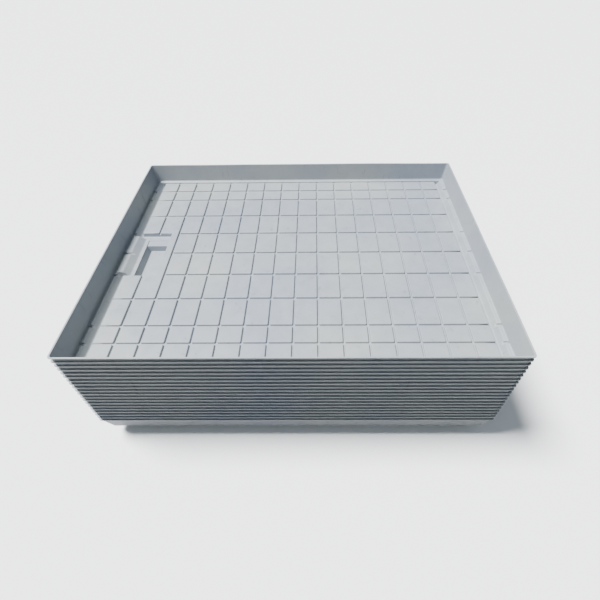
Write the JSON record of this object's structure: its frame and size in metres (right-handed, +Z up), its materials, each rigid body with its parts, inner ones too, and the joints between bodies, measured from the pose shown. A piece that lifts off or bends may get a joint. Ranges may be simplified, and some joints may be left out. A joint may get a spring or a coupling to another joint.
{
  "type": "stack of flood trays",
  "caption": "Nested stack of rectangular vacuum-formed ABS ebb-and-flow bench trays with padded floors, end gutters and a stepped drain sump; each tray lifts off the one below.",
  "frame": {"origin": "under the middle of the stack, at the level of the underside of the lowest tray's sump", "axes": "+X along the long side, away from the sump; +Y along the short side; +Z up, the way the trays lift off"},
  "size_m": [1.55, 1.22, 0.5546],
  "materials": {
    "abs_sheet": "light grey vacuum-formed ABS sheet, semi-matt"
  },
  "bodies": {
    "tray_01": {"tray_01": "abs_sheet"},
    "tray_02": {"tray_02": "abs_sheet"},
    "tray_03": {"tray_03": "abs_sheet"},
    "tray_04": {"tray_04": "abs_sheet"},
    "tray_05": {"tray_05": "abs_sheet"},
    "tray_06": {"tray_06": "abs_sheet"},
    "tray_07": {"tray_07": "abs_sheet"},
    "tray_08": {"tray_08": "abs_sheet"},
    "tray_09": {"tray_09": "abs_sheet"},
    "tray_10": {"tray_10": "abs_sheet"},
    "tray_11": {"tray_11": "abs_sheet"},
    "tray_12": {"tray_12": "abs_sheet"},
    "tray_13": {"tray_13": "abs_sheet"},
    "tray_14": {"tray_14": "abs_sheet"},
    "tray_15": {"tray_15": "abs_sheet"},
    "tray_16": {"tray_16": "abs_sheet"},
    "tray_17": {"tray_17": "abs_sheet"},
    "tray_18": {"tray_18": "abs_sheet"},
    "tray_19": {"tray_19": "abs_sheet"},
    "tray_20": {"tray_20": "abs_sheet"}
  },
  "joints": [
    {"name": "lift_02", "type": "slide", "parent": "tray_01", "child": "tray_02", "axis": [0, 0, 1], "range_m": [0, 0.15]},
    {"name": "lift_03", "type": "slide", "parent": "tray_02", "child": "tray_03", "axis": [0, 0, 1], "range_m": [0, 0.15]},
    {"name": "lift_04", "type": "slide", "parent": "tray_03", "child": "tray_04", "axis": [0, 0, 1], "range_m": [0, 0.15]},
    {"name": "lift_05", "type": "slide", "parent": "tray_04", "child": "tray_05", "axis": [0, 0, 1], "range_m": [0, 0.15]},
    {"name": "lift_06", "type": "slide", "parent": "tray_05", "child": "tray_06", "axis": [0, 0, 1], "range_m": [0, 0.15]},
    {"name": "lift_07", "type": "slide", "parent": "tray_06", "child": "tray_07", "axis": [0, 0, 1], "range_m": [0, 0.15]},
    {"name": "lift_08", "type": "slide", "parent": "tray_07", "child": "tray_08", "axis": [0, 0, 1], "range_m": [0, 0.15]},
    {"name": "lift_09", "type": "slide", "parent": "tray_08", "child": "tray_09", "axis": [0, 0, 1], "range_m": [0, 0.15]},
    {"name": "lift_10", "type": "slide", "parent": "tray_09", "child": "tray_10", "axis": [0, 0, 1], "range_m": [0, 0.15]},
    {"name": "lift_11", "type": "slide", "parent": "tray_10", "child": "tray_11", "axis": [0, 0, 1], "range_m": [0, 0.15]},
    {"name": "lift_12", "type": "slide", "parent": "tray_11", "child": "tray_12", "axis": [0, 0, 1], "range_m": [0, 0.15]},
    {"name": "lift_13", "type": "slide", "parent": "tray_12", "child": "tray_13", "axis": [0, 0, 1], "range_m": [0, 0.15]},
    {"name": "lift_14", "type": "slide", "parent": "tray_13", "child": "tray_14", "axis": [0, 0, 1], "range_m": [0, 0.15]},
    {"name": "lift_15", "type": "slide", "parent": "tray_14", "child": "tray_15", "axis": [0, 0, 1], "range_m": [0, 0.15]},
    {"name": "lift_16", "type": "slide", "parent": "tray_15", "child": "tray_16", "axis": [0, 0, 1], "range_m": [0, 0.15]},
    {"name": "lift_17", "type": "slide", "parent": "tray_16", "child": "tray_17", "axis": [0, 0, 1], "range_m": [0, 0.15]},
    {"name": "lift_18", "type": "slide", "parent": "tray_17", "child": "tray_18", "axis": [0, 0, 1], "range_m": [0, 0.15]},
    {"name": "lift_19", "type": "slide", "parent": "tray_18", "child": "tray_19", "axis": [0, 0, 1], "range_m": [0, 0.15]},
    {"name": "lift_20", "type": "slide", "parent": "tray_19", "child": "tray_20", "axis": [0, 0, 1], "range_m": [0, 0.15]}
  ]
}
